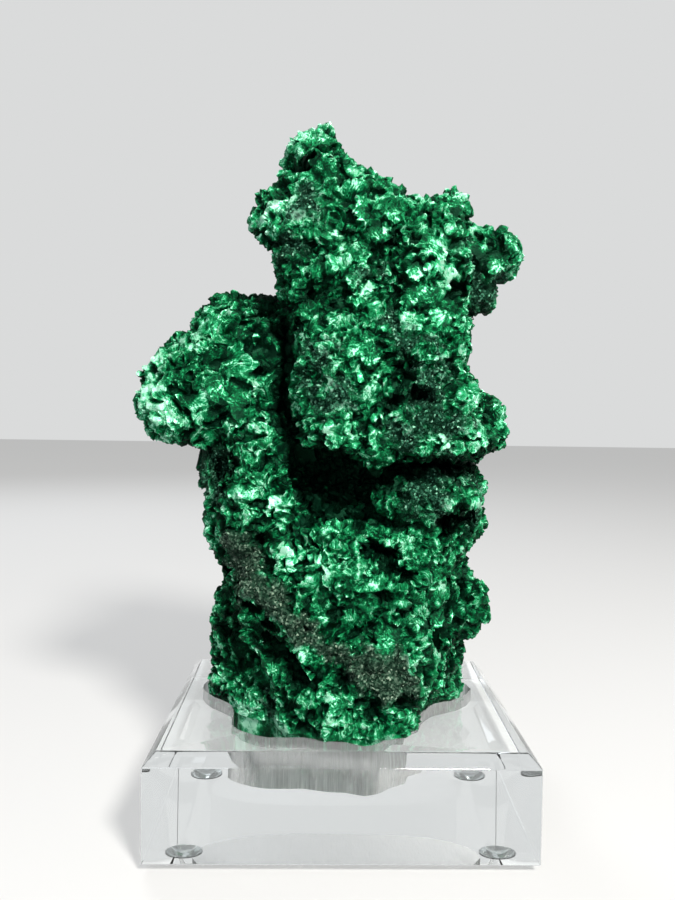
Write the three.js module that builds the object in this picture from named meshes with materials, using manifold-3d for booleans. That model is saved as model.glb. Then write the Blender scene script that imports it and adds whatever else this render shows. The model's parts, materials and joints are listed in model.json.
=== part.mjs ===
// Malachite specimen standing in a clear acrylic base.
// Units are millimetres, +Z is up, the front of the base faces -Y.
import * as THREE from 'three';
import { mergeVertices } from 'three/addons/utils/BufferGeometryUtils.js';
import { ImprovedNoise } from 'three/addons/math/ImprovedNoise.js';
import Module from 'manifold-3d';

const wasm = await Module();
wasm.setup();
const noise = new ImprovedNoise();

// ---- driving dimensions ----
const BASE_WIDTH = 100;
const BASE_DEPTH = 80;
const BASE_HEIGHT = 27.5;
const TOP_CHAMFER = 3;
const POCKET_DEPTH = 12;
const FOOT_DIAMETER = 9.5;
const FOOT_HEIGHT = 2;
const FOOT_INSET = 9.7;
const FOOT_SIDES = 24;
const FIT_GAP = 0.3;
const POCKET_CLEARANCE = 1.2;

// How far a cutting solid runs past the face that it cuts, and a size larger than the part.
const CUT_MARGIN = 1;
const OPEN_REACH = 400;
const WELD_DISTANCE = 1e-5;

const BASE_BOTTOM = FOOT_HEIGHT + FIT_GAP;
const BASE_TOP = BASE_BOTTOM + BASE_HEIGHT;
const POCKET_FLOOR = BASE_TOP - POCKET_DEPTH;

// The rock's coarse relief: wavelength and height of each layer of noise.
const RELIEF = [
  { wavelength: 23, height: 3.8 },
  { wavelength: 10, height: 2.6 },
];
// Share of that relief on the large masses, and on the lumps and hollows.
const MASS_RELIEF = 1;
const LUMP_RELIEF = 0.6;
// Edge length aimed at on the faceted stone.
const FACET_EDGE = 4.8;
const ICOSAHEDRON_SIDES = 20;

// The pocket's outline on the top of the base: it follows the stone's foot.
const POCKET_OUTLINE = [
  [5.5, -33.6], [1, -31.2], [-4, -30.6], [-10.5, -28.2], [-19.5, -28.4], [-26.5, -24.5],
  [-30, -20], [-30.2, -13], [-32, -5], [-38, 1], [-42, 8], [-41.5, 15], [-36, 20], [-26, 25],
  [-8, 27], [12, 26.5], [28, 24], [38, 17.5], [41, 9], [35, 0.5], [27, -4], [23, -10],
  [21.5, -15], [17.6, -18.5], [16.4, -24], [12.2, -27.6], [9.6, -31.4],
];
const OUTLINE_STEPS = 2 * POCKET_OUTLINE.length;

// Each mass of stone: its front outline in X and Z, drawn round a centre, and how far
// it reaches to the front and back of the centre. lean tips its foot forwards, and
// boxiness squares its cross-section (2 is an ellipse, less is a wedge).
const MASSES = [
  // lower body
  {
    centre: [-1, 4, 56],
    front: 24,
    back: 20,
    boxiness: 1.9,
    outline: [
      [-38, 95], [-37, 88], [-39, 81], [-35, 70], [-34, 64], [-38, 52], [-36, 46], [-38, 39],
      [-37, 30], [-38, 4], [-27, -16], [27, -16], [37, 4], [35, 30], [34, 41], [37, 47],
      [41, 51], [41, 59], [37, 66], [34, 76], [40, 79], [42, 85], [39, 90], [42, 97],
      [33, 104], [5, 95], [-10, 98], [-29, 104],
    ],
  },
  // front wedge of the foot
  {
    centre: [0, -11, 48],
    front: 17,
    back: 12,
    boxiness: 2.4,
    outline: [
      [-24, 76], [-30, 66], [-25, 50], [-18, 34], [-15, -4], [20, -6], [20, 30],
      [28, 42], [30, 56], [27, 72], [18, 83], [2, 87], [-14, 88],
    ],
  },
  // back spine
  {
    centre: [2, 11, 112],
    front: 13,
    back: 12,
    boxiness: 3,
    outline: [
      [-26, 86], [26, 82], [36, 96], [37, 104], [32, 128], [26, 156], [4, 164], [-12, 152],
      [-20, 120],
    ],
  },
  // left lobe
  {
    centre: [-34, 5, 126],
    front: 15,
    back: 14,
    boxiness: 2.5,
    outline: [
      [-15, 149], [-26, 149], [-33, 150], [-43, 145], [-46, 140], [-56, 132], [-60, 127],
      [-60, 119], [-57, 108], [-47, 105], [-37, 104], [-28, 97], [-14, 98], [-6, 120], [-10, 141],
    ],
  },
  // strap under the left lobe
  {
    centre: [-20, -4, 94],
    front: 13,
    back: 12,
    boxiness: 2.4,
    outline: [[-14, 118], [-25, 120], [-31, 110], [-34, 94], [-32, 76], [-9, 70], [-8, 90], [-14, 104]],
  },
  // front slab
  {
    centre: [8, -8, 143],
    front: 15,
    back: 13,
    boxiness: 3.2,
    lean: 0.12,
    outline: [
      [-7, 193], [-1, 191], [1, 185], [9, 181], [18, 175], [26, 176], [32, 174], [34, 168],
      [36, 160], [34, 147], [33, 132], [35, 122], [38, 112], [37, 104],
      [23, 104], [12, 100], [0, 101], [-9, 107], [-14, 116], [-16, 132], [-17, 149],
      [-19, 160], [-23, 165], [-27, 170], [-23, 175], [-17, 176], [-20, 183], [-15, 190],
    ],
  },
];

// Smaller lumps: centre and radii.
const LUMPS = [
  { at: [34, -3, 161], size: [9, 9, 8] },
  { at: [41.5, -3, 161.5], size: [9.5, 8, 7.5] },
  { at: [35, -2, 151], size: [8, 7, 7] },
  { at: [40, -4, 112], size: [8, 10, 8] },
  { at: [33, -3, 119], size: [8, 10, 9] },
  { at: [-35, 7, 97], size: [7, 9, 8] },
  { at: [-9.5, -5, 187], size: [9.5, 9, 9] },
  { at: [29, -6, 172], size: [6, 6, 7] },
  { at: [35, -2, 57], size: [8, 9, 8] },
  { at: [22, -19, 107], size: [15, 8, 6] },
  { at: [23, -12, 91.5], size: [16, 9.5, 7.5] },
  { at: [-4, -20, 109], size: [9, 8, 8] },
  { at: [-26, 13, 32], size: [13, 12, 19] },
  { at: [26, 12, 32], size: [13, 12, 19] },
  { at: [-1, -17, 28], size: [12, 13, 16] },
  { at: [12, -17, 28], size: [9, 14, 16] },
];

// Hollows cut into the stone: centre, radii, and turns about Z and Y in degrees.
const HOLLOWS = [
  { at: [-15.5, -18, 126], size: [2.6, 22, 28], turn: 8 },
  { at: [-4, -22, 97], size: [13.5, 27, 9.5], tilt: 16 },
  { at: [24, -24, 101], size: [18, 14, 2.6] },
  { at: [17, -26, 128], size: [3, 8, 3.4] },
  { at: [21, -27, 119], size: [4.5, 8, 3.4] },
  { at: [11, -29, 75], size: [6, 9, 3.4] },
  { at: [19, -29, 69], size: [3.2, 8, 3] },
  { at: [34, -20, 86.5], size: [9, 12, 4] },
  { at: [-19, -27, 52], size: [17, 9, 4], tilt: 38 },
  { at: [-38, -15, 28], size: [9, 16, 9] },
  { at: [31.5, -19, 30], size: [9, 17, 11] },
];

// ---- solids ----
function toSolid(geometry) {
  const bare = geometry.clone();
  bare.deleteAttribute('normal');
  bare.deleteAttribute('uv');
  const merged = mergeVertices(bare, WELD_DISTANCE);
  const vertProperties = new Float32Array(merged.attributes.position.array);
  const triVerts = new Uint32Array(merged.index.array);
  return new wasm.Manifold(new wasm.Mesh({ numProp: 3, vertProperties, triVerts }));
}

function toGeometry(solid) {
  const mesh = solid.getMesh();
  const geometry = new THREE.BufferGeometry();
  geometry.setAttribute('position', new THREE.BufferAttribute(new Float32Array(mesh.vertProperties), 3));
  geometry.setIndex(new THREE.BufferAttribute(new Uint32Array(mesh.triVerts), 1));
  return geometry;
}

function union(solids) {
  return solids.reduce((whole, solid) => whole.add(solid));
}

// ---- stone ----
function relief(point) {
  let height = 0;
  for (const layer of RELIEF) {
    const s = 1 / layer.wavelength;
    height += layer.height * noise.noise(point.x * s, point.y * s, point.z * s);
  }
  return height;
}

function facetDetail(a, b, c) {
  const area = (4 * Math.PI * (a * b + b * c + c * a)) / 3;
  const facetArea = (Math.sqrt(3) / 4) * FACET_EDGE * FACET_EDGE;
  const facetsOnEachSide = area / facetArea / ICOSAHEDRON_SIDES;
  return Math.max(1, Math.round(Math.sqrt(facetsOnEachSide)) - 1);
}

function addRelief(geometry, reliefScale) {
  const position = geometry.attributes.position;
  geometry.computeVertexNormals();
  const outward = geometry.attributes.normal;
  const point = new THREE.Vector3();
  const push = new THREE.Vector3();
  for (let i = 0; i < position.count; i += 1) {
    point.fromBufferAttribute(position, i);
    push.fromBufferAttribute(outward, i).multiplyScalar(relief(point) * reliefScale);
    point.add(push);
    position.setXYZ(i, point.x, point.y, point.z);
  }
  return toSolid(geometry);
}

function rockLump({ at, size, turn = 0, tilt = 0 }) {
  const geometry = mergedSphere(facetDetail(...size));
  geometry.scale(...size);
  geometry.rotateY(THREE.MathUtils.degToRad(tilt));
  geometry.rotateZ(THREE.MathUtils.degToRad(turn));
  geometry.translate(...at);
  return addRelief(geometry, LUMP_RELIEF);
}

function reachAtAngle(outline, centreX, centreZ, angle) {
  const dx = Math.cos(angle);
  const dz = Math.sin(angle);
  let reach = 0;
  outline.forEach(([x1, z1], i) => {
    const [x2, z2] = outline[(i + 1) % outline.length];
    const ex = x2 - x1;
    const ez = z2 - z1;
    const cross = dx * ez - dz * ex;
    if (cross === 0) return;
    const along = ((x1 - centreX) * ez - (z1 - centreZ) * ex) / cross;
    const share = ((x1 - centreX) * dz - (z1 - centreZ) * dx) / cross;
    if (along > 0 && share >= 0 && share <= 1) reach = Math.max(reach, along);
  });
  return reach;
}

function outlineMass({ centre, outline, front, back, boxiness, lean = 0 }) {
  const [cx, cy, cz] = centre;
  const xs = outline.map((p) => p[0]);
  const zs = outline.map((p) => p[1]);
  const halfWidth = (Math.max(...xs) - Math.min(...xs)) / 2;
  const halfHeight = (Math.max(...zs) - Math.min(...zs)) / 2;
  const geometry = mergedSphere(facetDetail(halfWidth, (front + back) / 2, halfHeight));
  const position = geometry.attributes.position;
  for (let i = 0; i < position.count; i += 1) {
    const x = position.getX(i);
    const y = position.getY(i);
    const z = position.getZ(i);
    const planar = Math.hypot(x, z);
    const square = (planar ** boxiness + Math.abs(y) ** boxiness) ** (-1 / boxiness);
    const angle = Math.atan2(z, x);
    const reach = reachAtAngle(outline, cx, cz, angle) * planar * square;
    const depth = y * square * (y < 0 ? front : back);
    const rise = reach * Math.sin(angle);
    position.setXYZ(i, cx + reach * Math.cos(angle), cy + depth + lean * rise, cz + rise);
  }
  return addRelief(geometry, MASS_RELIEF);
}

function mergedSphere(detail) {
  const sphere = new THREE.IcosahedronGeometry(1, detail);
  sphere.deleteAttribute('normal');
  sphere.deleteAttribute('uv');
  return mergeVertices(sphere, WELD_DISTANCE);
}

function outlineShape(clearance) {
  const points = POCKET_OUTLINE.map(([x, y]) => {
    const reach = Math.hypot(x, y);
    const pull = (reach - clearance) / reach;
    return new THREE.Vector3(x * pull, y * pull, 0);
  });
  const curve = new THREE.CatmullRomCurve3(points, true, 'centripetal');
  const rim = curve.getPoints(OUTLINE_STEPS).slice(1);
  return new THREE.Shape(rim.map((p) => new THREE.Vector2(p.x, p.y)));
}

function outlineBlock(clearance, bottom, top) {
  const geometry = new THREE.ExtrudeGeometry(outlineShape(clearance), {
    depth: top - bottom,
    bevelEnabled: false,
  });
  geometry.translate(0, 0, bottom);
  return toSolid(geometry);
}

function boxSolid(width, depth, bottom, top) {
  const geometry = new THREE.BoxGeometry(width, depth, top - bottom);
  geometry.translate(0, 0, (top + bottom) / 2);
  return toSolid(geometry);
}

function specimenSolid() {
  const masses = MASSES.map((mass) => outlineMass(mass));
  const lumps = LUMPS.map((lump) => rockLump(lump));
  const rough = union([...masses, ...lumps]);
  const hollows = union(HOLLOWS.map((hollow) => rockLump(hollow)));
  const openSpace = boxSolid(OPEN_REACH, OPEN_REACH, BASE_TOP + FIT_GAP, OPEN_REACH);
  const plugSpace = outlineBlock(POCKET_CLEARANCE, POCKET_FLOOR + FIT_GAP, BASE_TOP + CUT_MARGIN);
  return rough.subtract(hollows).intersect(openSpace.add(plugSpace));
}

// ---- acrylic base ----
function chamferCap() {
  const geometry = new THREE.BoxGeometry(BASE_WIDTH, BASE_DEPTH, TOP_CHAMFER);
  geometry.translate(0, 0, BASE_TOP - TOP_CHAMFER / 2);
  const position = geometry.attributes.position;
  for (let i = 0; i < position.count; i += 1) {
    const isTop = position.getZ(i) > BASE_TOP - TOP_CHAMFER / 2;
    const inset = isTop ? TOP_CHAMFER : 0;
    const x = position.getX(i);
    const y = position.getY(i);
    position.setX(i, x - Math.sign(x) * inset);
    position.setY(i, y - Math.sign(y) * inset);
  }
  return toSolid(geometry);
}

function blockSolid() {
  const body = boxSolid(BASE_WIDTH, BASE_DEPTH, BASE_BOTTOM, BASE_TOP - TOP_CHAMFER);
  return body.add(chamferCap());
}

function baseSolid() {
  return blockSolid().subtract(outlineBlock(0, POCKET_FLOOR, BASE_TOP + CUT_MARGIN));
}

// ---- bumper feet ----
function footGeometry() {
  const radius = FOOT_DIAMETER / 2;
  const profile = [
    [0, 0],
    [radius * 0.6, 0],
    [radius * 0.84, FOOT_HEIGHT * 0.16],
    [radius * 0.96, FOOT_HEIGHT * 0.45],
    [radius, FOOT_HEIGHT],
    [0, FOOT_HEIGHT],
  ].map(([r, z]) => new THREE.Vector2(r, z));
  const geometry = new THREE.LatheGeometry(profile, FOOT_SIDES);
  geometry.rotateX(Math.PI / 2);
  return geometry;
}

function bumperFeet() {
  const feet = new THREE.Group();
  const x = BASE_WIDTH / 2 - FOOT_INSET;
  const y = BASE_DEPTH / 2 - FOOT_INSET;
  const places = {
    bumper_foot_front_left: [-x, -y],
    bumper_foot_front_right: [x, -y],
    bumper_foot_rear_left: [-x, y],
    bumper_foot_rear_right: [x, y],
  };
  for (const [name, [footX, footY]] of Object.entries(places)) {
    const foot = namedMesh(name, footGeometry(), '#dfe5e6', 0.25);
    foot.position.set(footX, footY, 0);
    feet.add(foot);
  }
  return feet;
}

// ---- assembly ----
function namedMesh(name, geometry, color, roughness) {
  const material = new THREE.MeshStandardMaterial({ color, roughness, metalness: 0 });
  const mesh = new THREE.Mesh(geometry, material);
  mesh.name = name;
  return mesh;
}

function buildSpecimen() {
  const model = new THREE.Group();
  model.add(namedMesh('malachite_specimen', toGeometry(specimenSolid()), '#0c6b3e', 0.45));
  model.add(namedMesh('acrylic_base', toGeometry(baseSolid()), '#e9f0f1', 0.05));
  model.add(bumperFeet());
  const box = new THREE.Box3().setFromObject(model);
  const middle = box.getCenter(new THREE.Vector3());
  model.position.set(-middle.x, -middle.y, 0);
  return model;
}

const group = new THREE.Group();
group.add(buildSpecimen());

export default group;
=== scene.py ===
"""Malachite specimen on a clear acrylic base: the looks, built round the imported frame."""
import json
import math

import bpy
import numpy as np
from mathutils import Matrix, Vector

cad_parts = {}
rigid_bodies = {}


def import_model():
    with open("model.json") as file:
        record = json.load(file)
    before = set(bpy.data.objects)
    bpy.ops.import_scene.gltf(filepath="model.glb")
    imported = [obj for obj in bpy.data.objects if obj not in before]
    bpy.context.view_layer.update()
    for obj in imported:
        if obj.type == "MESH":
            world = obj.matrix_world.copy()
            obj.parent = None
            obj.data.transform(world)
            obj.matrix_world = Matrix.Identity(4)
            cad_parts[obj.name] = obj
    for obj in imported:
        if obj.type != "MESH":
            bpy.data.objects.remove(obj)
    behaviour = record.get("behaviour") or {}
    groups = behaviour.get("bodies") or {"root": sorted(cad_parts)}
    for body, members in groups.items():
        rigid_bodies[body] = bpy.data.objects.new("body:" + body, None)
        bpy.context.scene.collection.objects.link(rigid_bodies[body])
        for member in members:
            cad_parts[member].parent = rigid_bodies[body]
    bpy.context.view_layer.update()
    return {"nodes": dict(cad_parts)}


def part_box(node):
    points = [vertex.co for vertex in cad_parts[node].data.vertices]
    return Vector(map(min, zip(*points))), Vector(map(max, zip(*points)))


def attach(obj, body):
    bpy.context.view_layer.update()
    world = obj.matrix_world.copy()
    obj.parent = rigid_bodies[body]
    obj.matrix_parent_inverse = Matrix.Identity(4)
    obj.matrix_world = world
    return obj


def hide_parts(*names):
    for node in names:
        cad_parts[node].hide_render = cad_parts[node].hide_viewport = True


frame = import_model()

MM = 0.001
ROOT = "root"

# Kinds of node used again and again.
MATH = "ShaderNodeMath"
VECTOR = "ShaderNodeVectorMath"
RANGE = "ShaderNodeMapRange"
MIX = "ShaderNodeMix"
NOISE = "ShaderNodeTexNoise"
CELLS = "ShaderNodeTexVoronoi"
SPLIT = "ShaderNodeSeparateXYZ"
JOIN = "ShaderNodeCombineXYZ"
RAMP = "ShaderNodeValToRGB"
KEPT = "ShaderNodeAttribute"
NAMED = "GeometryNodeInputNamedAttribute"
KEEP = "GeometryNodeStoreNamedAttribute"
RANDOM = "FunctionNodeRandomValue"
TURN = "FunctionNodeRotateRotation"

# Places and sizes read off the frame, in metres.
BASE_LOW, BASE_HIGH = (Vector(corner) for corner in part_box("acrylic_base"))
BASE_MIDDLE = (BASE_LOW + BASE_HIGH) / 2
BASE_REACH = (BASE_HIGH - BASE_LOW) / 2
BASE_TOP = BASE_HIGH.z
STONE_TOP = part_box("malachite_specimen")[1][2]
# The middle of the base and the block's top, in millimetres.
MIDDLE_MM = np.array((BASE_MIDDLE.x / MM, 0, 0))
TOP_MM = BASE_TOP / MM

# The block: how far its edges are eased, and how wide a rim its outer edges lie in, in millimetres.
EASED_EDGE = 0.25
RIM = 3.5
# How deep the feet's bonded tops sit in the block, in millimetres.
FOOT_BOND = 0.12
FOOT_PARTS = 48
FEET = ["bumper_foot_" + place for place in ("front_left", "front_right", "rear_left", "rear_right")]

# Camera: level with the upper stone, close in, looking slightly down.
CAMERA_FROM_BASE = Vector((-6.1, -229.2, 114.3)) * MM
CAMERA_TILT = 87.5
CAMERA_ROLL = -0.8
CAMERA_TURN = -1.05
CAMERA_LENS = 31.1

# Lights: place and width in metres, power in watts, and colour.
KEY_LIGHT = ("key_light", (0.28, -0.60, 0.60), 0.16, 14.0, "#fffaf2")
FILL_LIGHT = ("fill_light", (-0.3, -0.75, 0.35), 0.6, 2.0, "#eef3fb")
BACK_LIGHT = ("back_light", (-0.40, 0.70, 0.70), 0.4, 4.0, "#f6f8fb")
# The room's strength as soft light, and as the eye sees it.
ROOM_LIGHT = 0.28
ROOM_SEEN = 1.0
# The floor's glow as the eye sees it, straight and through clear acrylic.
FLOOR_GLOW = 0.45
FLOOR_GLOW_THROUGH = 0.62

# Stone: size of the voxels in millimetres, passes of smoothing, triangles left and crease angle.
COARSE_VOXEL = 0.9
FINE_VOXEL = 0.45
COARSE_SMOOTHING = {"factor": 0.8, "iterations": 6}
FINE_SMOOTHING = {"factor": 0.6, "iterations": 3}
STONE_TRIANGLES = 198_000
CREASE = 38
# Relief: width of the cells and how high each feature stands, in millimetres.
MASS_CELLS = {"cell": 12.0, "swell": 8.0, "tilt": 0.10, "dome": 0.8, "step": 0.4, "crest": 0.9}
BOLD_CELLS = {"cell": 7.0, "swell": 5.2, "tilt": 0.16, "dome": 0.6, "step": 0.30, "crest": 1.0}
FLAKE_CELLS = {"cell": 3.8, "swell": 2.1, "tilt": 0.30, "dome": 0.9, "step": 0.35, "crest": 0.5}
GRAIN_CELLS = {"cell": 1.7, "swell": 0.5, "tilt": 0.15, "dome": 0.9, "step": 0.12, "crest": 0.1}
# Most that a relief may lift, and how wide its cells wander, in cells.
MOST_LIFT = 0.34
WANDER = 0.7
BEND = 1.2
# How far fibres lean over, in cells.
SPLAY = 0.9
# The waves whose middles are the crests, and the folds painted bright in the silk: how many to a
# cell, and their shape.
WAVES = 1.1
WAVE_SHAPE = {"Detail": 3.0, "Roughness": 0.5, "Distortion": 1.2}
CREST_WIDTH = 0.10
# Share of a layer's height on plain, bold and drusy stone, and on opened fans.
MASS_SHARES = (1, 1, 1)
BOLD_SHARES = (0.7, 1.1, 0.5)
FLAKE_SHARES = (1.0, 0.15, 0.4)
GRAIN_SHARES = (0.5, 0.03, 1.5)
OPENED_SHARE = 0.25
# Relief starts at the pocket's mouth and is whole this far above it, in millimetres.
MOUTH = 0.5
WHOLE_FROM = 3.0
MOUTH_SHARE = 0.05
# Rays that feel how open each spot lies, and their reach in millimetres. The silk's colour reads this
# openness to paint shade into hollows and under overhangs.
RAYS = 28
RAY_LIFT = 0.5
RAY_LENGTH = 30.0

# The drusy crust that crosses the front: place across and up, and half its width, in millimetres.
BAND = [
    ((-29.5, 78), 4.5), ((-28, 73.5), 5.2), ((-24, 68.5), 4.4), ((-19.5, 66.5), 3.6),
    ((-15.5, 62.5), 3.2), ((-10.5, 58), 2.6), ((-5.5, 54.5), 2.4), ((-2, 51.5), 2.4),
    ((2, 50), 2.8), ((7, 47.5), 5.6), ((12.5, 46.5), 6.0), ((16, 45), 4.0),
]
BAND_RISE = 1.8
# The stone spreads over the pocket's rim: from how far above it, to how far up, and how far out,
# in millimetres.
SKIRT_FROM = 0.1
SKIRT_HEIGHT = 3.0
SKIRT_REACH = 0.8
# Broken flat sides: a spot on the plane, the way it faces, and how far round the spot it runs.
FLATS = [
    ((-50, 5, 105.5), (0, 0, -1), 14), ((-60, 5, 113.5), (-0.965, 0, -0.26), 13),
    ((-55.2, 5, 135.7), (-0.82, 0, 0.57), 12), ((-42, -9.5, 125), (-0.2, -1, 0.08), 19),
    ((49.5, -3, 161), (1, 0, 0.05), 9), ((43, -3, 168), (0.1, 0, 1), 8),
    ((-14.5, -6, 191.5), (-0.55, 0, 0.83), 8), ((-4.5, -6, 192), (0.75, 0, 0.66), 8),
    ((45.5, -3, 112), (1, 0, -0.1), 8), ((42.5, -3, 52), (0.9, 0, -0.3), 7),
    ((-37.5, 4, 45), (-1, 0, 0), 13),
]
FLAT_DEPTH = 7.0
FLAT_SHARE = 0.85
# Where fine drusy crystals cover the stone: centre from the middle of the base, and radius, in mm. A
# few also lay dark druse where shade falls, as painted shade.
DRUSE_AND_SHADE_ZONES = [
    ((15, -25, 110), 5), ((23, -24, 113), 6), ((33, -18, 108), 6), ((22, -24, 121), 5),
    ((-6, -24, 131), 4), ((-8, -22, 122), 4), ((14, -24, 136), 4), ((24, -22, 130), 5),
    ((-12, -18, 170), 6), ((-16, -16, 161), 5), ((31, -12, 163), 5), ((38, -4, 153), 7),
    ((37, -8, 92), 8), ((24, -22, 93), 7), ((-19, -16, 36), 5), ((8, -24, 152), 4),
    # The next four zones lay dark druse on the column under the left lobe and under the prong, where
    # shade falls: partly the stone's druse, partly painted shade.
    ((-36, 4, 96), 10), ((-33, -7, 98), 5), ((-35, -6, 91), 5), ((42, -7, 149), 5),
    ((-3, -26, 118), 5), ((2, 26, 150), 12), ((-20, 22, 110), 9),
    ((22, 22, 70), 10), ((-10, 24, 50), 8),
]
# Where the silky fans are broad and smooth.
BOLD_ZONES = [
    ((-30, -8, 130), 18), ((-42, -6, 118), 16), ((-22, -10, 112), 13), ((-20, -14, 92), 12),
    ((42, -6, 162), 9), ((24, -20, 156), 9), ((28, -16, 144), 6), ((38, -8, 114), 7),
    ((-10, -20, 78), 12), ((26, -14, 58), 13), ((32, -8, 70), 10), ((2, -22, 168), 9),
    ((-8, -14, 184), 10), ((-20, -16, 46), 9),
]

# Holes and grooves in the front: place across and up, radius and depth, in millimetres.
DENTS = [
    ((15, 127), 2.8, 6), ((19.3, 120.2), 3.2, 7), ((12.7, 118.8), 2.2, 4), ((-13, 139), 2.0, 3),
    ((14, 101.5), 2.4, 6), ((18, 101.8), 2.6, 8), ((22, 102), 2.6, 8), ((26, 102), 2.6, 8),
    ((30, 101.5), 2.4, 6), ((6.2, 78.6), 2.6, 6), ((9.8, 78), 2.8, 7), ((13.2, 77.4), 2.4, 6),
    ((17, 72), 2.6, 6), ((10.5, 67), 2.0, 4), ((34, 86.5), 4.5, 6), ((28, 84.5), 3.0, 5),
    ((-33, 70), 2.6, 5), ((-29, 65.5), 2.4, 5), ((-24.5, 62.5), 2.4, 5), ((-18, 54), 2.4, 4),
    ((-13.5, 50), 2.2, 4), ((-20, 58.5), 2.2, 5), ((0.6, 45.5), 2.4, 5), ((-9.6, 57.5), 1.6, 3),
    ((31, 150), 3.4, 5),
    ((-34, 98), 5.5, 5), ((-19, 35.5), 1.8, 3), ((8, 37.5), 1.8, 3), ((-23, 80.5), 2.0, 3),
    ((-8.5, 184.3), 6.5, -2.2), ((-30, 116), 2.2, 3), ((-24, 126), 2.0, 3), ((22, 156), 1.8, 3),
    ((36, 104), 2.0, 3),
]
# Single fans broken open along their fibres: place across and up, and radius, in millimetres.
FACES = [
    ((-1.7, 108), 4.4), ((4.5, 132), 4.6), ((6.5, 120.5), 2.6), ((39, 116), 3.8), ((43, 111), 3.2),
    ((21.5, 160), 3.6), ((21.6, 147), 3.8), ((18, 153), 3.0), ((25.4, 141), 3.8), ((30, 160), 3.0),
    ((29, 172), 3.2), ((-1.5, 86), 3.8), ((3.5, 88.5), 2.8), ((15.5, 90), 2.4), ((7.3, 72.5), 2.8),
    ((-6.5, 63), 3.4), ((1.8, 60.5), 3.2), ((16.5, 60.5), 2.0), ((11.8, 54.5), 4.2), ((25, 59), 3.4),
    ((31.5, 62), 3.8), ((28, 53), 4.2), ((29, 43), 4.2), ((-8, 49), 5.2), ((-29, 48.5), 3.8),
    ((-18.5, 45), 2.8), ((-2, 39.7), 2.8), ((-26, 93), 2.6), ((-9, 89), 4.0), ((-29.5, 129.5), 5.0),
    ((-36, 121), 4.2), ((-30, 117), 3.8), ((-42, 118), 3.4),
    ((-37, 130), 3.6), ((-13, 103), 4.4), ((-9, 180), 5.5), ((1, 174), 3.6),
    ((8, 163), 3.2), ((2, 152), 3.4), ((42, 158), 3.6), ((37, 161), 3.0), ((12, 168), 2.8),
]
BACK_DENTS = [
    ((-5, 150), 2.5, 4), ((12, 140), 3.0, 5), ((20, 118), 2.6, 4), ((-24, 120), 2.6, 4),
    ((-38, 128), 2.4, 4), ((0, 100), 3.2, 5), ((-16, 88), 2.6, 4), ((18, 84), 3.0, 5),
    ((-28, 66), 2.6, 4), ((6, 62), 3.2, 5), ((28, 52), 2.6, 4), ((-12, 42), 3.0, 5),
]
BACK_FACES = [
    ((4, 160), 4.5), ((14, 150), 4.0), ((-8, 138), 5.0), ((8, 126), 4.5), ((22, 132), 4.0),
    ((-30, 136), 5.0), ((-44, 124), 4.5), ((-34, 112), 4.5), ((-12, 112), 4.5), ((14, 106), 5.0),
    ((30, 100), 4.0), ((-26, 96), 4.0), ((0, 84), 5.0), ((26, 72), 4.5), ((-18, 74), 4.5),
    ((10, 72), 4.0), ((-30, 54), 4.5), ((-4, 54), 4.5), ((18, 46), 5.0), ((-18, 38), 4.0),
    ((4, 38), 4.0), ((-10, 186), 4.0), ((30, 162), 3.5),
]
# Opened fans: how far each stands out, slants and reaches, how crisp its edge is, and its tones.
FACE_RISE = 0.7
FACE_SLANT = 0.45
FACE_REACH = 5
FACE_EDGE = 6
FACE_TONES = (-0.5, 1.0)
# A fan's fibres start this many radii beside its middle, and this many behind it.
HEART_BESIDE = 1.1
HEART_BEHIND = 0.6
# A point is part of an opened fan when it is held flat by more than this share.
OPENED = 0.3
# How steep the sides of the holes are, and how squarely a point faces front or back.
DENT_EDGE = 2.2
FACING = 0.25
# Where a zone or the crust ends and how widely it fades, in its own radii.
ZONE_END, ZONE_FADE = 1.25, 0.5
BAND_END, BAND_FADE = 1.1, 0.25
# Waves that break up their outlines: size in millimetres, rate, axes and phase.
ZONE_WAVES = [(2.6, 0.55, [1, 2, 0], (1, 2, 3)), (1.4, 1.4, [2, 0, 1], (4, 5, 6))]
BAND_WAVES = [(1.2, 0.8, [2, 0], (1, 2)), (0.7, 2.3, [0, 2], 0)]
# Waves round the outline of a hole or fan: size as a share of its radius, and how many.
OUTLINE_WAVES = [(0.20, 2), (0.14, 3), (0.08, 7)]
CRYSTAL_SIZE = (0.30, 0.70)
CRYSTALS_PER_MM2 = 1.6
# One crystal before it is sized: its sides, half its width at foot and tip, and its length.
CRYSTAL_SHAPE = {"vertices": 5, "radius1": 0.42, "radius2": 0.22, "depth": 0.9}
# Most that a crystal tips, in degrees, and rolls, in radians, and how far it is sunk, in millimetres.
CRYSTAL_LEAN = 70
CRYSTAL_ROLL = 0.35
CRYSTAL_SUNK = 0.1
# No crystal grows below this height, in millimetres, inside the pocket.
CRYSTALS_FROM = 24
CRYSTAL_SEED = 14

# Silk: how finely the streaks, patches and mottling run, and the size of the crust's grains in mm.
# Real malachite fibres are far finer, so the streaks are drawn as coarse as they need to show.
STREAKS = {"Scale": 12.0, "Detail": 5.0, "Roughness": 0.72}
PATCHES = {"Scale": 0.26, "Detail": 4.0, "Roughness": 0.6, "Distortion": 0.8}
MOTTLING = {"Scale": 0.08, "Detail": 2.0}
GRAIN_SIZE = 0.55
# Bright folds, painted highlights along the relief's crests: cell size, half width, and share on
# plain stone and on broad fans.
FOLD_HIGHLIGHTS = [(FLAKE_CELLS["cell"], 0.035, 0.38, 0.12), (BOLD_CELLS["cell"], 0.025, 0.24, 0.52)]
# The silk's tone where fibres end at the surface, and where they lie along it. The paler tone along
# the fibres is partly the stone's own colour and partly painted sheen.
SILK_END_ON = -0.10
SILK_ALONG = 0.30
SILK_LIFT = 0.055
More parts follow.
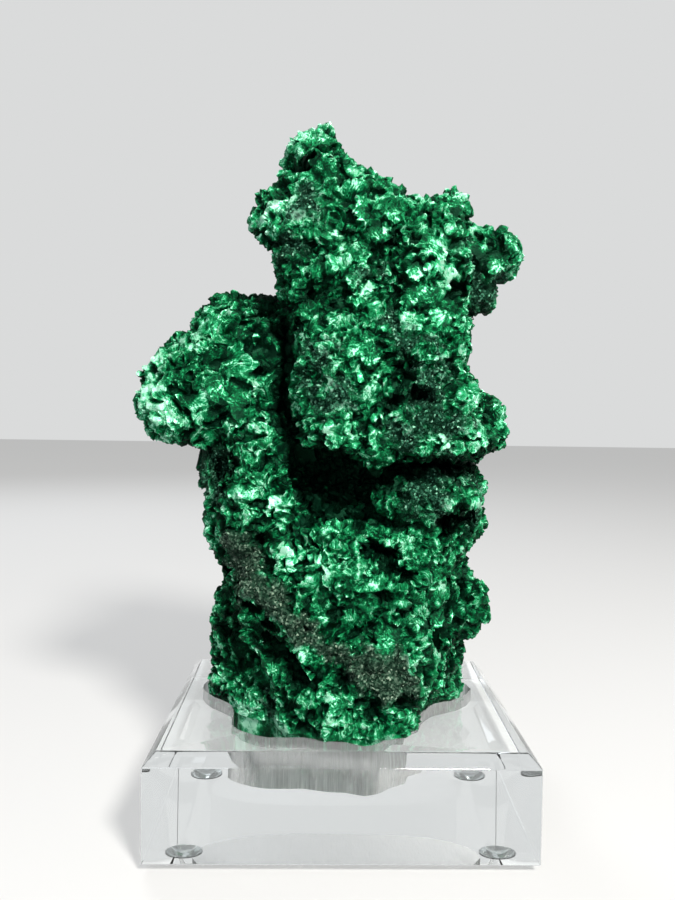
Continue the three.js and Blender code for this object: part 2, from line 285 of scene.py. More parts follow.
# Weights of the things that lighten the silk, and the openness that changes nothing. The open weight
# and its middle paint shade: hemmed-in spots darker, open spots lighter.
TONE_WEIGHT = 0.14
STREAK_WEIGHTS = (1.5, 2.4)
PATCH_WEIGHT = 1.8
MOTTLE_WEIGHT = 1.3
# The crest weight paints highlights along the relief's ridges.
CREST_HIGHLIGHT_WEIGHT = 0.05
PAINTED_SHADE_WEIGHT = 1.6
PAINTED_SHADE_MIDDLE = 0.72
OPENED_WEIGHT = -0.08
# The painted fold highlights fade out where the patches darken: patch from and to, and the folds'
# weight there.
FOLD_HIGHLIGHT_FADE = (0.35, 0.6, 0.3, 1.0)
# How high the streaks stand against the crust's grains.
STREAK_RELIEF = 0.6
# The silk's tone from which it gleams, how metallic the palest gleams, and the share on opened fans.
GLEAM_FROM = 0.55
SILK_GLEAM = 0.7
OPENED_GLEAM = 0.3
SILK_COLOURS = [(0.0, "#000d06"), (0.22, "#002713"), (0.45, "#04532d"), (0.68, "#17834f"),
                (0.85, "#56c394"), (1.0, "#b0f0d2")]
DRUSE_COLOURS = [(0.0, "#020604"), (0.4, "#07180f"), (0.65, "#113426"), (0.85, "#2c5443"),
                 (0.95, "#4f8f72"), (1.0, "#93d0b3")]
CRUST_COLOURS = [(0.0, "#050a07"), (0.3, "#14211a"), (0.6, "#293d31"), (0.85, "#44594b"),
                 (0.95, "#64796a"), (1.0, "#94a995")]
ROUTED_COLOURS = [(0.30, "#7d8583"), (0.52, "#b4bbb9"), (0.72, "#f1f4f3")]


# ---- small helpers ----
def srgb(hex_colour):
    """Linear RGBA from an sRGB hex colour."""
    channels = [int(hex_colour[i:i + 2], 16) / 255 for i in (1, 3, 5)]
    linear = [c / 12.92 if c <= 0.04045 else ((c + 0.055) / 1.055) ** 2.4 for c in channels]
    return (*linear, 1.0)


def add(tree, kind, inputs=(), out=0, **settings):
    """Adds a node, sets its properties, sets or links its inputs, and gives one of its outputs.
    The inputs are a tuple in order, or a dict by name or number."""
    node = tree.nodes.new(kind)
    for key, value in settings.items():
        setattr(node, key, value)
    inputs = inputs if isinstance(inputs, dict) else dict(enumerate(inputs))
    for key, value in inputs.items():
        if isinstance(value, bpy.types.NodeSocket):
            tree.links.new(value, node.inputs[key])
        else:
            node.inputs[key].default_value = value
    return node.outputs[out] if len(node.outputs) else node


def paint(ramp_colour, stops):
    """Sets a colour ramp's stops, and gives back its colour."""
    elements = ramp_colour.node.color_ramp.elements
    while len(elements) < len(stops):
        elements.new(0.5)
    for element, (at, colour) in zip(elements, stops):
        element.position = at
        element.color = srgb(colour)
    return ramp_colour


def new_material(name, looks):
    """A material, its node tree and its shader, with the shader's own values set."""
    material = bpy.data.materials.new(name)
    material.use_nodes = True
    shader = material.node_tree.nodes["Principled BSDF"]
    for key, value in looks.items():
        shader.inputs[key].default_value = value
    return material, material.node_tree, shader


def deselect():
    if bpy.context.object and bpy.context.object.mode != "OBJECT":
        bpy.ops.object.mode_set(mode="OBJECT")
    bpy.ops.object.select_all(action="DESELECT")


def pick(piece):
    deselect()
    piece.select_set(True)
    bpy.context.view_layer.objects.active = piece


def apply_modifier(piece, kind, **settings):
    pick(piece)
    modifier = piece.modifiers.new(kind.title(), kind)
    for key, value in settings.items():
        setattr(modifier, key, value)
    bpy.ops.object.modifier_apply(modifier=modifier.name)


def copy_of(source, name):
    """A free copy of an object with its own mesh."""
    pick(source)
    bpy.ops.object.duplicate()
    piece = bpy.context.object
    bpy.ops.object.parent_clear(type="CLEAR_KEEP_TRANSFORM")
    bpy.ops.object.transform_apply(location=True, rotation=True, scale=True)
    piece.name = name
    piece.data.name = name
    return piece


def merged_copy(node, name):
    """A copy of a CAD node with its loose triangles joined up."""
    piece = copy_of(frame["nodes"][node], name)
    bpy.ops.object.mode_set(mode="EDIT")
    bpy.ops.mesh.select_all(action="SELECT")
    bpy.ops.mesh.remove_doubles(threshold=0.002 * MM)
    bpy.ops.object.mode_set(mode="OBJECT")
    return piece


def finish_piece(piece, node, slot, *materials):
    for index, material in enumerate(materials):
        if index < len(piece.data.materials):
            piece.data.materials[index] = material
        else:
            piece.data.materials.append(material)
    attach(piece, ROOT)
    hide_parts(node)


# ---- camera, light and floor ----
def make_camera():
    bpy.ops.object.camera_add()
    camera = bpy.context.object
    camera.name = "camera"
    camera.location = Vector((BASE_MIDDLE.x, 0, 0)) + CAMERA_FROM_BASE
    camera.rotation_euler = [math.radians(a) for a in (CAMERA_TILT, CAMERA_ROLL, CAMERA_TURN)]
    camera.data.lens = CAMERA_LENS
    camera.data.sensor_width = 36
    camera.data.clip_start = 0.01
    bpy.context.scene.camera = camera


def make_light(name, place, size, power, colour):
    bpy.ops.object.light_add(type="AREA", location=place)
    light = bpy.context.object
    light.name = name
    light.data.shape = "DISK"
    light.data.size = size
    light.data.energy = power
    light.data.color = srgb(colour)[:3]
    target = Vector((0, 0, STONE_TOP * 0.5))
    light.rotation_euler = (target - light.location).to_track_quat("-Z", "Y").to_euler()
    return light


def make_studio():
    """A firm key light from the upper right, a weak fill from the left, a soft light behind that
    keeps the back readable, and a pale room."""
    make_light(*KEY_LIGHT)
    make_light(*FILL_LIGHT)
    back = make_light(*BACK_LIGHT)
    back.visible_transmission = False
    back.visible_glossy = False
    world = bpy.data.worlds.new("pale_room")
    bpy.context.scene.world = world
    world.use_nodes = True
    tree = world.node_tree
    background = tree.nodes["Background"]
    background.inputs["Color"].default_value = srgb("#dadbdb")
    path = add(tree, "ShaderNodeLightPath").node.outputs
    seen = add(tree, MATH, (path["Is Camera Ray"], path["Is Singular Ray"]), operation="MAXIMUM")
    strength = add(tree, RANGE, (seen, 0, 1, ROOM_LIGHT, ROOM_SEEN))
    tree.links.new(strength, background.inputs["Strength"])
    bpy.context.scene.view_settings.view_transform = "Standard"


def make_floor():
    """A pale table that stays even in tone far from the lights."""
    bpy.ops.mesh.primitive_plane_add(size=6)
    floor = bpy.context.object
    floor.name = "floor"
    material, tree, shader = new_material("matt_pale_floor", {
        "Base Color": srgb("#9c9d9e"), "Roughness": 0.9, "Specular IOR Level": 0.05,
        "Emission Color": srgb("#fbfbfa")})
    path = add(tree, "ShaderNodeLightPath").node.outputs
    glow = add(tree, MATH, (path["Is Camera Ray"], FLOOR_GLOW), operation="MULTIPLY")
    glow = add(tree, MATH, (path["Is Singular Ray"], FLOOR_GLOW_THROUGH, glow),
               operation="MULTIPLY_ADD")
    tree.links.new(glow, shader.inputs["Emission Strength"])
    floor.data.materials.append(material)


# ---- stone ----
def new_tree(name):
    tree = bpy.data.node_groups.new(name, "GeometryNodeTree")
    tree.interface.new_socket("Geometry", in_out="INPUT", socket_type="NodeSocketGeometry")
    tree.interface.new_socket("Geometry", in_out="OUTPUT", socket_type="NodeSocketGeometry")
    return tree, add(tree, "NodeGroupInput")


def apply_tree(piece, tree):
    pick(piece)
    modifier = piece.modifiers.new(tree.name, "NODES")
    modifier.node_group = tree
    bpy.ops.object.modifier_apply(modifier=modifier.name)


def relief_tree(name, shares, cell, swell, tilt, dome, step, crest, spares="", keeps=True):
    """Geometry nodes that break a surface into leaning fans, domes and cups about one cell wide.
    Unless keeps is off, each spot also keeps the way its fibres run, a tone of its own and how near
    a crest it is. Where the attribute named in spares is 1, the fibres and tone stay as they were."""
    tree, geometry = new_tree(name)
    place = add(tree, NAMED, ("rest_place",), data_type="FLOAT_VECTOR")
    wander = add(tree, NOISE, {"Vector": place, "Scale": WANDER / cell, "Detail": 2.0}, "Color")
    drift = add(tree, VECTOR, (wander, (0.5, 0.5, 0.5)), operation="SUBTRACT")
    bent = add(tree, VECTOR, (drift, (BEND * cell,) * 3, place), operation="MULTIPLY_ADD")
    cells = add(tree, CELLS, {"Vector": bent, "Scale": 1 / cell}).node.outputs
    from_heart = add(tree, VECTOR, (bent, cells["Position"]), operation="SUBTRACT")
    # A cell's colour runs from 0 to 1, and its lean from -1 to 1.
    lean = add(tree, VECTOR, (cells["Color"], (2, 2, 2), (-1, -1, -1)), operation="MULTIPLY_ADD")
    parts = add(tree, SPLIT, (lean,)).node.outputs
    # Each cell domes or cups, leans over and steps up or down by chance.
    bulge = add(tree, MATH, (parts["X"], -dome, -0.5 * dome), operation="MULTIPLY_ADD")
    height = add(tree, MATH, (cells["Distance"], 2.0), operation="POWER")
    height = add(tree, MATH, (height, bulge), operation="MULTIPLY")
    slope = add(tree, VECTOR, (from_heart, lean), "Value", operation="DOT_PRODUCT")
    height = add(tree, MATH, (slope, tilt, height), operation="MULTIPLY_ADD")
    height = add(tree, MATH, (parts["Y"], step, height), operation="MULTIPLY_ADD")
    # Slow waves swell the surface, and their middles stand up as sharp crests.
    waves = add(tree, NOISE, {"Vector": place, "Scale": WAVES / cell, **WAVE_SHAPE})
    waves = add(tree, MATH, (waves, 0.5), operation="SUBTRACT")
    height = add(tree, MATH, (waves, swell, height), operation="MULTIPLY_ADD")
    ridge = add(tree, MATH, (waves,), operation="ABSOLUTE")
    ridge = add(tree, RANGE, (ridge, 0.0, CREST_WIDTH, 1.0, 0.0))
    height = add(tree, MATH, (ridge, crest, height), operation="MULTIPLY_ADD")
    height = add(tree, MATH, (height, MOST_LIFT * cell), operation="MINIMUM")
    height = add(tree, MATH, (height, -MOST_LIFT * cell), operation="MAXIMUM")
    up = add(tree, SPLIT, (place,), "Z")
    free = add(tree, RANGE, (up, TOP_MM - MOUTH, TOP_MM + WHOLE_FROM, MOUTH_SHARE, 1.0))
    share = 1.0
    for grown, low, high in (("bold", *shares[:2]), ("druse", 1, shares[2]),
                             ("calm", 1, OPENED_SHARE)):
        amount = add(tree, NAMED, (grown,), data_type="FLOAT")
        amount = add(tree, RANGE, (amount, 0, 1, low, high))
        share = add(tree, MATH, (share, amount), operation="MULTIPLY")
    height = add(tree, MATH, (height, share), operation="MULTIPLY")
    height = add(tree, MATH, (height, free), operation="MULTIPLY")
    fibre = add(tree, VECTOR, (lean, (SPLAY * cell,) * 3, from_heart), operation="MULTIPLY_ADD")
    fibre = add(tree, VECTOR, (fibre,), operation="NORMALIZE")
    tone = parts["Z"]
    if spares:
        spared = add(tree, NAMED, (spares,), data_type="FLOAT")
        laid = add(tree, NAMED, ("fibre",), data_type="FLOAT_VECTOR")
        toned = add(tree, NAMED, ("tone",), data_type="FLOAT")
        fibre = add(tree, MIX, {0: spared, 4: fibre, 5: laid}, 1, data_type="VECTOR")
        tone = add(tree, MIX, {0: spared, 2: tone, 3: toned}, data_type="FLOAT")
    kept = [("fibre", "FLOAT_VECTOR", fibre), ("tone", "FLOAT", tone), ("crest", "FLOAT", ridge)]
    for key, data_type, value in kept if keeps else []:
        geometry = add(tree, KEEP, {"Geometry": geometry, "Name": key, "Value": value},
                       data_type=data_type)
    outward = add(tree, NAMED, ("outward",), data_type="FLOAT_VECTOR")
    push = add(tree, MATH, (height, MM), operation="MULTIPLY")
    offset = add(tree, VECTOR, {0: outward, "Scale": push}, operation="SCALE")
    moved = add(tree, "GeometryNodeSetPosition", {"Geometry": geometry, "Offset": offset})
    add(tree, "NodeGroupOutput", (moved,))
    return tree


def shade_painting_openness_tree():
    """Geometry nodes that keep how much of the space above each spot is open, by casting rays, for
    the silk's painted shade in hollows.
    """
    tree, geometry = new_tree("openness")
    place = add(tree, "GeometryNodeInputPosition")
    normal = add(tree, "GeometryNodeInputNormal")
    lifted = add(tree, VECTOR, (normal, (RAY_LIFT * MM,) * 3, place), operation="MULTIPLY_ADD")
    seen = 0.0
    total = 0.0
    for number in range(RAYS):
        height = 1 - 2 * (number + 0.5) / RAYS
        around = number * math.pi * (3 - math.sqrt(5))
        flat = math.sqrt(1 - height * height)
        way = (flat * math.cos(around), flat * math.sin(around), height)
        weight = add(tree, VECTOR, (normal, way), "Value", operation="DOT_PRODUCT")
        weight = add(tree, MATH, (weight, 0.0), operation="MAXIMUM")
        hit = add(tree, "GeometryNodeRaycast", {
            "Target Geometry": geometry, "Source Position": lifted, "Ray Direction": way,
            "Ray Length": RAY_LENGTH * MM}, "Is Hit")
        missed = add(tree, MATH, (1.0, hit), operation="SUBTRACT")
        seen = add(tree, MATH, (weight, missed, seen), operation="MULTIPLY_ADD")
        total = add(tree, MATH, (weight, total))
    share = add(tree, MATH, (seen, total), operation="DIVIDE")
    kept = add(tree, KEEP, {"Geometry": geometry, "Name": "open", "Value": share}, data_type="FLOAT")
    add(tree, "NodeGroupOutput", (kept,))
    return tree


def store(mesh, name, values):
    """Keeps a number or a vector for each point under a name."""
    values = np.ascontiguousarray(values, dtype=np.float32)
    kind, key = ("FLOAT_VECTOR", "vector") if values.ndim == 2 else ("FLOAT", "value")
    if name in mesh.attributes:
        mesh.attributes.remove(mesh.attributes[name])
    mesh.attributes.new(name, kind, "POINT").data.foreach_set(key, values.ravel())


def kept_values(mesh, name, width=1):
    """The numbers or vectors kept under a name."""
    values = np.empty(len(mesh.vertices) * width, dtype=np.float32)
    mesh.attributes[name].data.foreach_get("vector" if width == 3 else "value", values)
    return values.reshape(-1, 3) if width == 3 else values


def points_of(mesh):
    """Every point's place in millimetres and its outward normal."""
    places = np.empty(len(mesh.vertices) * 3, dtype=np.float32)
    normals = places.copy()
    mesh.vertices.foreach_get("co", places)
    mesh.vertices.foreach_get("normal", normals)
    return places.reshape(-1, 3) / MM, normals.reshape(-1, 3)


def zone_share(places, zones):
    """How far each place lies in a list of round zones, from 0 outside to 1 well inside."""
    share = np.zeros(len(places))
    for size, rate, axes, phase in ZONE_WAVES:
        places = places + size * np.sin(rate * places[:, axes] + phase)
    for centre, radius in zones:
        far = np.linalg.norm(places - MIDDLE_MM - centre, axis=1)
        share = np.maximum(share, np.clip((ZONE_END * radius - far) / (ZONE_FADE * radius), 0, 1))
    return share


def band_share(places):
    """How far each place lies in the crust across the front, from 0 outside to 1 well inside."""
    share = np.zeros(len(places))
    flat = places[:, [0, 2]] - MIDDLE_MM[[0, 2]]
    for size, rate, axes, phase in BAND_WAVES:
        flat = flat + size * np.sin(rate * places[:, axes] + phase)
    for (start, wide), (end, wide_end) in zip(BAND, BAND[1:]):
        run = np.subtract(end, start)
        along = np.clip((flat - start) @ run / (run @ run), 0, 1)
        far = np.linalg.norm(flat - start - along[:, None] * run, axis=1)
        half = wide + along * (wide_end - wide)
        share = np.maximum(share, np.clip((BAND_END * half - far) / (BAND_FADE * half), 0, 1))
    return np.where(places[:, 1] < 0, share, 0)


def survey(piece):
    """Keeps each point's place in millimetres, its outward normal, and what grows there."""
    mesh = piece.data
    places, normals = points_of(mesh)
    band = band_share(places)
    druse = np.maximum(zone_share(places, DRUSE_AND_SHADE_ZONES), band)
    store(mesh, "rest_place", places)
    store(mesh, "outward", normals)
    store(mesh, "druse", druse)
    store(mesh, "band", band)
    store(mesh, "bold", zone_share(places, BOLD_ZONES) * (1 - druse))
    store(mesh, "calm", np.zeros(len(places)))


def rough_distance(across, up, centre, random):
    """Distance from a centre, drawn in and out so that a round patch gets a broken outline."""
    across = across - centre[0]
    up = up - centre[1]
    around = np.arctan2(up, across)
    turns = random.uniform(0, math.tau, 3)
    wave = 0
    for (size, count), turn in zip(OUTLINE_WAVES, turns):
        wave = wave + size * np.sin(count * around + turn)
    return np.hypot(across, up) / (1 + wave)


def trim_flats(places):
    """Presses the stone back to its broken flat sides, all but a little of its relief."""
    for spot, facing, reach in FLATS:
        facing = np.array(facing) / np.linalg.norm(facing)
        off = places - MIDDLE_MM - spot
        beyond = off @ facing
        beside = np.linalg.norm(off - beyond[:, None] * facing, axis=1)
        trim = np.where((beside < reach) & (beyond > 0) & (beyond < FLAT_DEPTH), beyond, 0)
        places = places - FLAT_SHARE * trim[:, None] * facing
    return places


def cut_dents(places, across, up, facing, inward, dents, random):
    """Sinks each hole, or raises it where its depth is below nothing."""
    for centre, radius, deep in dents:
        near = 1 - rough_distance(across, up, centre, random) / radius
        places[:, 1] += np.where(facing, inward * deep * np.clip(DENT_EDGE * near, 0, 1), 0)


def break_faces(places, across, up, facing, inward, faces, random, kept):
    """Flattens each single fan at a slant of its own, and keeps where its fibres start."""
    for centre, radius in faces:
        near = 1 - rough_distance(across, up, centre, random) / radius
        lean = random.uniform(-FACE_SLANT, FACE_SLANT, 2)
        way = random.uniform(0, math.tau)
        tone = random.uniform(*FACE_TONES)
        inside = facing & (near > 0)
        if not inside.any():
            continue
        depth = np.median(places[inside, 1])
        level = depth - inward * FACE_RISE
        level = level + lean[0] * (across - centre[0]) + lean[1] * (up - centre[1])
        hold = np.where(inside, np.clip(FACE_EDGE * near, 0, 1), 0)
        hold = np.where(np.abs(places[:, 1] - level) < FACE_REACH, hold, 0)
        places[:, 1] += hold * (level - places[:, 1])
        kept["calm"] = np.maximum(kept["calm"], hold)
        heart = (centre[0] + MIDDLE_MM[0] + HEART_BESIDE * radius * math.cos(way),
                 depth + inward * HEART_BEHIND * radius,
                 centre[1] + HEART_BESIDE * radius * math.sin(way))
        kept["heart"][hold > OPENED] = heart
        kept["face_tone"][hold > OPENED] = tone


def sculpt(piece):
    """Raises the drusy band, cuts the holes, and breaks single fans open, front and back."""
    mesh = piece.data
    random = np.random.default_rng(7)
    places, normals = points_of(mesh)
    across = places[:, 0] - MIDDLE_MM[0]
    up = places[:, 2]
    places = places + normals * (BAND_RISE * band_share(places))[:, None]
    over_rim = (up > TOP_MM + SKIRT_FROM) & (up < TOP_MM + SKIRT_HEIGHT)
    fade = np.clip((TOP_MM + SKIRT_HEIGHT - up) / SKIRT_HEIGHT, 0, 1)
    places[:, :2] += normals[:, :2] * (SKIRT_REACH * over_rim * fade)[:, None]
    places = trim_flats(places)
    kept = {"calm": np.zeros(len(places)), "heart": places.copy(),
            "face_tone": np.zeros(len(places))}
    for facing, inward, dents, faces in ((normals[:, 1] < -FACING, 1, DENTS, FACES),
                                         (normals[:, 1] > FACING, -1, BACK_DENTS, BACK_FACES)):
        cut_dents(places, across, up, facing, inward, dents, random)
        break_faces(places, across, up, facing, inward, faces, random, kept)
    mesh.vertices.foreach_set("co", np.ascontiguousarray(places * MM, dtype=np.float32).ravel())
    mesh.update()
    survey(piece)
    for name, values in kept.items():
        store(mesh, name, values)


def lay_fibres(piece):
    """Turns the fibres of the opened fans so that they spread from each fan's own heart."""
    mesh = piece.data
    opened = kept_values(mesh, "calm") > OPENED
    away = kept_values(mesh, "rest_place", 3) - kept_values(mesh, "heart", 3)
    away = away / np.maximum(np.linalg.norm(away, axis=1), 0.001)[:, None]
    store(mesh, "fibre", np.where(opened[:, None], away, kept_values(mesh, "fibre", 3)))
    store(mesh, "tone", np.where(opened, kept_values(mesh, "face_tone"), kept_values(mesh, "tone")))


def make_stone():
    stone = merged_copy("malachite_specimen", "malachite_mass")
    apply_modifier(stone, "REMESH", mode="VOXEL", voxel_size=COARSE_VOXEL * MM)
    apply_modifier(stone, "SMOOTH", **COARSE_SMOOTHING)
    survey(stone)
    apply_tree(stone, relief_tree("rock_masses", MASS_SHARES, **MASS_CELLS))
    apply_modifier(stone, "REMESH", mode="VOXEL", voxel_size=FINE_VOXEL * MM)
    apply_modifier(stone, "SMOOTH", **FINE_SMOOTHING)
    survey(stone)
    sculpt(stone)
    apply_tree(stone, relief_tree("broad_fans", BOLD_SHARES, **BOLD_CELLS))
    apply_tree(stone, relief_tree("small_flakes", FLAKE_SHARES, **FLAKE_CELLS, spares="bold"))
    apply_tree(stone, relief_tree("fine_grain", GRAIN_SHARES, **GRAIN_CELLS, keeps=False))
    lay_fibres(stone)
    triangles = sum(len(face.vertices) - 2 for face in stone.data.polygons)
    apply_modifier(stone, "DECIMATE", ratio=STONE_TRIANGLES / triangles)
    # The openness kept here paints shade into the silk's colour.
    apply_tree(stone, shade_painting_openness_tree())
    pick(stone)
    bpy.ops.object.shade_smooth_by_angle(angle=math.radians(CREASE))
    return stone


# ---- crystals ----
def crystal_tree(crystal):
    """Geometry nodes that plant crystals over the drusy stone, each turned its own way and with a
    tone of its own, and lay their fibres away from their roots."""
    tree, geometry = new_tree("drusy_crystals")
    chance = add(tree, NAMED, ("druse",), data_type="FLOAT")
    thick = add(tree, MATH, (chance, CRYSTALS_PER_MM2 / MM ** 2), operation="MULTIPLY")
    points = add(tree, "GeometryNodeDistributePointsOnFaces", {
        "Mesh": geometry, "Density": thick, "Seed": CRYSTAL_SEED}).node.outputs
    place = add(tree, "GeometryNodeInputPosition")
    up = add(tree, SPLIT, (place,), "Z")
    below = add(tree, MATH, (up, CRYSTALS_FROM * MM), operation="LESS_THAN")
    rooted = add(tree, "GeometryNodeDeleteGeometry",
                 {"Geometry": points["Points"], "Selection": below}, domain="POINT")
    tone = add(tree, RANDOM, {2: -1.0, 3: 1.0, "Seed": 3}, 1, data_type="FLOAT")
    spin = add(tree, RANDOM, {2: 0.0, 3: math.tau, "Seed": 5}, 1, data_type="FLOAT")
    lean = math.radians(CRYSTAL_LEAN)
    tip = add(tree, RANDOM, {2: -lean, 3: lean, "Seed": 7}, 1, data_type="FLOAT")
    roll = add(tree, RANDOM, {2: -CRYSTAL_ROLL, 3: CRYSTAL_ROLL, "Seed": 9}, 1, data_type="FLOAT")
    size = add(tree, RANDOM, {2: CRYSTAL_SIZE[0] * MM, 3: CRYSTAL_SIZE[1] * MM, "Seed": 11}, 1,
               data_type="FLOAT")
    rooted = add(tree, KEEP, {"Geometry": rooted, "Name": "tone", "Value": tone}, data_type="FLOAT")
    rooted = add(tree, KEEP, {"Geometry": rooted, "Name": "heart", "Value": place},
                 data_type="FLOAT_VECTOR")
    turned = points["Rotation"]
    for angles in ({"Z": spin}, {"X": roll, "Y": tip}):
        turned = add(tree, TURN, (turned, add(tree, JOIN, angles)), rotation_space="LOCAL")
    shape = add(tree, "GeometryNodeObjectInfo", {"Object": crystal}, "Geometry")
    planted = add(tree, "GeometryNodeInstanceOnPoints", {
        "Points": rooted, "Instance": shape, "Rotation": turned, "Scale": size})
    sunk = add(tree, "GeometryNodeTranslateInstances", {
        "Instances": planted, "Translation": (0, 0, -CRYSTAL_SUNK * MM)})
    real = add(tree, "GeometryNodeRealizeInstances", (sunk,))
    heart = add(tree, NAMED, ("heart",), data_type="FLOAT_VECTOR")
    away = add(tree, VECTOR, (add(tree, "GeometryNodeInputPosition"), heart), operation="SUBTRACT")
    fibre = add(tree, VECTOR, (away,), operation="NORMALIZE")
    kept = add(tree, KEEP, {"Geometry": real, "Name": "fibre", "Value": fibre},
               data_type="FLOAT_VECTOR")
    add(tree, "NodeGroupOutput", (kept,))
    return tree


def make_crystals(stone):
    """The crystals of the drusy patches, all from one stubby crystal."""
    deselect()
    bpy.ops.mesh.primitive_cone_add(**CRYSTAL_SHAPE)
    crystal = bpy.context.object
    crystals = copy_of(stone, "drusy_crystals")
    apply_tree(crystals, crystal_tree(crystal))
    bpy.data.objects.remove(crystal)
    return crystals


def silky_malachite():
    """Fibrous malachite, grown as tight sprays: dark velvet where the fibres end, mint silk where
    they lie along the surface, its paleness partly the stone's own colour and partly painted sheen,
    and grey-green sparkle where fine crystals cover it."""
    material, tree, shader = new_material("fibrous_malachite_silk", {
        "Roughness": 0.42, "IOR": 1.6, "Specular IOR Level": 0.3, "Specular Tint": srgb("#5fd49c"),
        "Anisotropic": 0.75})
    where = add(tree, "ShaderNodeTexCoord", out="Object")
    place = add(tree, VECTOR, {0: where, "Scale": 1 / MM}, operation="SCALE")
    normal = add(tree, "ShaderNodeNewGeometry", out="Normal")
    grown = add(tree, KEPT, out="Vector", attribute_name="rest_place")
    fibre = add(tree, KEPT, out="Vector", attribute_name="fibre")
    fibre = add(tree, VECTOR, (fibre,), operation="NORMALIZE")
    tone, crest, druse, band, bold, calm, free = (
        add(tree, KEPT, out="Fac", attribute_name=name)
        for name in ("tone", "crest", "druse", "band", "bold", "calm", "open"))
    # Bright lines along the same waves whose middles stand up as crests in the relief: painted
    # highlights where ridges catch the light. The crest term below paints them too.
    fold_highlights = 0.0
    for cell, width, plain_share, bold_share in FOLD_HIGHLIGHTS:
        share = add(tree, RANGE, (bold, 0, 1, plain_share, bold_share))
        waves = add(tree, NOISE, {"Vector": grown, "Scale": WAVES / cell, **WAVE_SHAPE})
        fold = add(tree, MATH, (waves, 0.5), operation="SUBTRACT")
        fold = add(tree, MATH, (fold,), operation="ABSOLUTE")
        fold = add(tree, RANGE, (fold, 0.0, width, 1.0, 0.0))
        fold_highlights = add(tree, MATH, (fold, share, fold_highlights), operation="MULTIPLY_ADD")
    streak = add(tree, NOISE, {"Vector": fibre, **STREAKS})
    patch = add(tree, NOISE, {"Vector": place, **PATCHES})
    mottle = add(tree, NOISE, {"Vector": place, **MOTTLING})
    smooth = add(tree, MATH, (bold, calm), operation="MAXIMUM")
    streak_weight = add(tree, RANGE, (smooth, 0, 1, *STREAK_WEIGHTS))
    fold_highlight_weight = add(tree, RANGE, (patch, *FOLD_HIGHLIGHT_FADE))
    # The mint silk where fibres lie along the surface, with its streaks and patches, is partly the
    # stone's own colour and partly painted sheen.
    end_on = add(tree, VECTOR, (fibre, normal), "Value", operation="DOT_PRODUCT")
    end_on = add(tree, MATH, (end_on,), operation="ABSOLUTE")
    silk = add(tree, RANGE, (end_on, 1.0, 0.1, SILK_END_ON, SILK_ALONG))
    # Openness paints shade into the colour: hemmed-in hollows darker, open spots lighter.
    for value, middle, weight in (
            (tone, 0, TONE_WEIGHT), (streak, 0.5, streak_weight), (patch, 0.5, PATCH_WEIGHT),
            (fold_highlights, 0, fold_highlight_weight), (mottle, 0.5, MOTTLE_WEIGHT), (crest, 0, CREST_HIGHLIGHT_WEIGHT),
            (free, PAINTED_SHADE_MIDDLE, PAINTED_SHADE_WEIGHT), (calm, 0, OPENED_WEIGHT)):
        off = add(tree, MATH, (value, middle), operation="SUBTRACT")
        silk = add(tree, MATH, (off, weight, silk), operation="MULTIPLY_ADD")
    silk = add(tree, MATH, (silk, SILK_LIFT))
    colour = paint(add(tree, RAMP, (silk,)), SILK_COLOURS)
    grains = add(tree, CELLS, {"Vector": place, "Scale": 1 / GRAIN_SIZE}, "Color")
    grain = add(tree, "ShaderNodeSeparateColor", (grains,))
    for share, stops in ((druse, DRUSE_COLOURS), (band, CRUST_COLOURS)):
        cover = paint(add(tree, RAMP, (grain,)), stops)
        colour = add(tree, MIX, {0: share, 6: colour, 7: cover}, 2, data_type="RGBA")
    gleam = add(tree, RANGE, (silk, GLEAM_FROM, 1.0, 0.0, SILK_GLEAM))
    for share, least in ((druse, 0.0), (calm, OPENED_GLEAM)):
        share = add(tree, RANGE, (share, 0.0, 1.0, 1.0, least))
        gleam = add(tree, MATH, (gleam, share), operation="MULTIPLY")
    height = add(tree, MATH, (streak, STREAK_RELIEF), operation="MULTIPLY")
    height = add(tree, MATH, (grain, druse, height), operation="MULTIPLY_ADD")
    bump = add(tree, "ShaderNodeBump", {"Height": height, "Strength": 0.8, "Distance": 0.5 * MM})
    across = add(tree, VECTOR, (fibre, normal), operation="CROSS_PRODUCT")
    for key, value in (("Base Color", colour), ("Metallic", gleam), ("Tangent", across),
                       ("Normal", bump)):
        tree.links.new(value, shader.inputs[key])
    return material


# ---- base and feet ----
def polished_acrylic():
    """Cast acrylic, diamond polished: clear, bright edges, a faint cool tint."""
    return new_material("cast_acrylic_polished", {
        "Base Color": srgb("#fbfefe"), "Roughness": 0.0, "IOR": 1.49,
        "Transmission Weight": 1.0})[0]


def routed_acrylic(name, lines_per_mm, roughness, clarity):
    """The same acrylic left as the router cut it: frosted grey, with fine cutter lines, drawn as
    coarse as they need to show."""
    material, tree, shader = new_material(name, {
        "Roughness": roughness, "IOR": 1.49, "Transmission Weight": clarity})
    where = add(tree, "ShaderNodeTexCoord", out="Object")
    place = add(tree, VECTOR, (where, [count / MM for count in lines_per_mm]), operation="MULTIPLY")
    lines = add(tree, NOISE, {"Vector": place, "Scale": 1.0, "Detail": 3.0, "Roughness": 0.7})
    bump = add(tree, "ShaderNodeBump", {"Height": lines, "Strength": 0.6, "Distance": 0.3 * MM})
    tree.links.new(paint(add(tree, RAMP, (lines,)), ROUTED_COLOURS), shader.inputs["Base Color"])
    tree.links.new(bump, shader.inputs["Normal"])
    return material


def clear_polyurethane():
    """Soft clear polyurethane, cast in a dome: glossy, and a shade cooler than the acrylic."""
    return new_material("cast_polyurethane_clear", {
        "Base Color": srgb("#e3e9ea"), "Roughness": 0.06, "IOR": 1.50,
        "Transmission Weight": 1.0})[0]


def in_rim(place, rim):
    """Is a place within this many millimetres of the block's four sides?"""
    off = place - BASE_MIDDLE
    return abs(off.x) > BASE_REACH.x - rim * MM or abs(off.y) > BASE_REACH.y - rim * MM


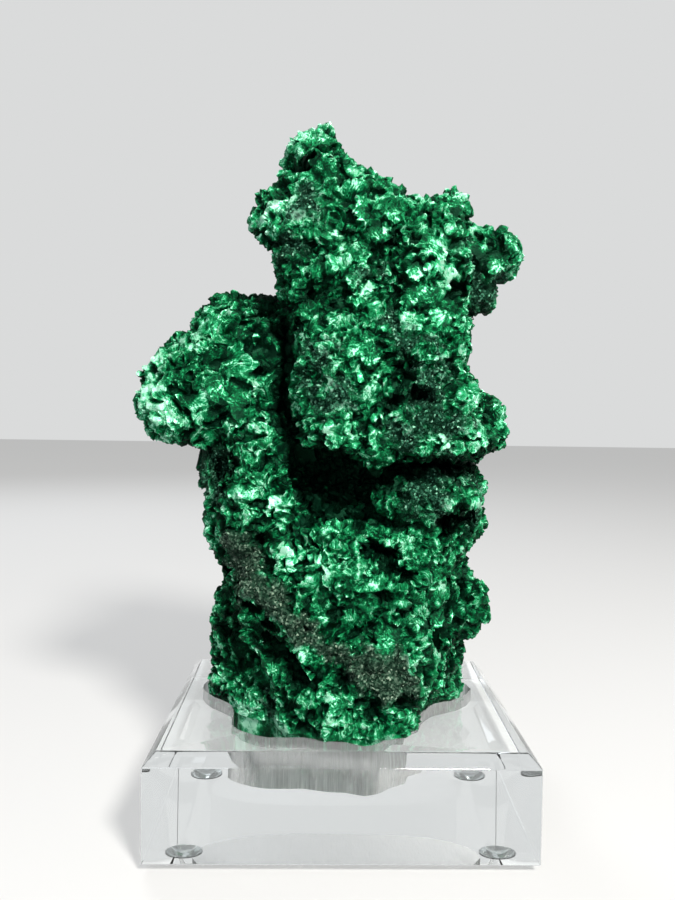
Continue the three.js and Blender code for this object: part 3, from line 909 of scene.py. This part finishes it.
def make_base(polished, wall, floor):
    """The block: every outer edge eased, and the routed pocket's wall and floor left frosted."""
    base = merged_copy("acrylic_base", "acrylic_block")
    bpy.ops.object.mode_set(mode="EDIT")
    bpy.ops.mesh.select_all(action="SELECT")
    bpy.ops.mesh.dissolve_limited(angle_limit=math.radians(1))
    bpy.ops.mesh.select_all(action="DESELECT")
    bpy.ops.object.mode_set(mode="OBJECT")
    mesh = base.data
    rim = [in_rim(point.co, RIM) for point in mesh.vertices]
    for edge in mesh.edges:
        edge.select = all(rim[point] for point in edge.vertices)
    bpy.ops.object.mode_set(mode="EDIT")
    bpy.ops.mesh.select_mode(type="EDGE")
    bpy.ops.mesh.bevel(offset=EASED_EDGE * MM, segments=2, affect="EDGES")
    bpy.ops.object.mode_set(mode="OBJECT")
    finish_piece(base, "acrylic_base", "clear_acrylic", polished, wall, floor)
    for face in mesh.polygons:
        inside = BASE_LOW.z + MM < face.center.z < BASE_TOP - 0.01 * MM
        face.material_index = 0
        if inside and not in_rim(face.center, RIM + 0.5):
            face.material_index = 2 if abs(face.normal.z) > 0.5 else 1
    pick(base)
    bpy.ops.object.shade_smooth_by_angle(angle=math.radians(20))


def make_foot(node, clear):
    """A stick-on bumper: a low clear dome, stuck to the block by its flat side."""
    low, high = (Vector(corner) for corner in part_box(node))
    middle = (low + high) / 2
    top = BASE_LOW.z + FOOT_BOND * MM
    across = (high.x - low.x) / 2
    radius = (across ** 2 + (top - low.z) ** 2) / (2 * (top - low.z))
    deselect()
    bpy.ops.mesh.primitive_uv_sphere_add(segments=FOOT_PARTS, ring_count=FOOT_PARTS, radius=radius,
                                         location=(middle.x, middle.y, low.z + radius))
    foot = bpy.context.object
    foot.name = node.replace("bumper", "clear_bumper")
    bpy.ops.object.transform_apply(location=True, rotation=True, scale=True)
    bpy.ops.object.mode_set(mode="EDIT")
    bpy.ops.mesh.select_all(action="SELECT")
    bpy.ops.mesh.bisect(plane_co=(0, 0, top), plane_no=(0, 0, 1), clear_outer=True, use_fill=True)
    bpy.ops.object.mode_set(mode="OBJECT")
    bpy.ops.object.shade_smooth_by_angle(angle=math.radians(35))
    finish_piece(foot, node, "clear_bumper", clear)


def main():
    make_camera()
    make_studio()
    make_floor()
    make_base(polished_acrylic(),
              routed_acrylic("cast_acrylic_routed_wall", (1.6, 1.6, 0.06), 0.38, 0.8),
              routed_acrylic("cast_acrylic_routed_floor", (0.9, 0.25, 1.0), 0.28, 1.0))
    clear = clear_polyurethane()
    for node in FEET:
        make_foot(node, clear)
    stone = make_stone()
    silk = silky_malachite()
    for piece in (stone, make_crystals(stone)):
        finish_piece(piece, "malachite_specimen", "silky_malachite", silk)


main()
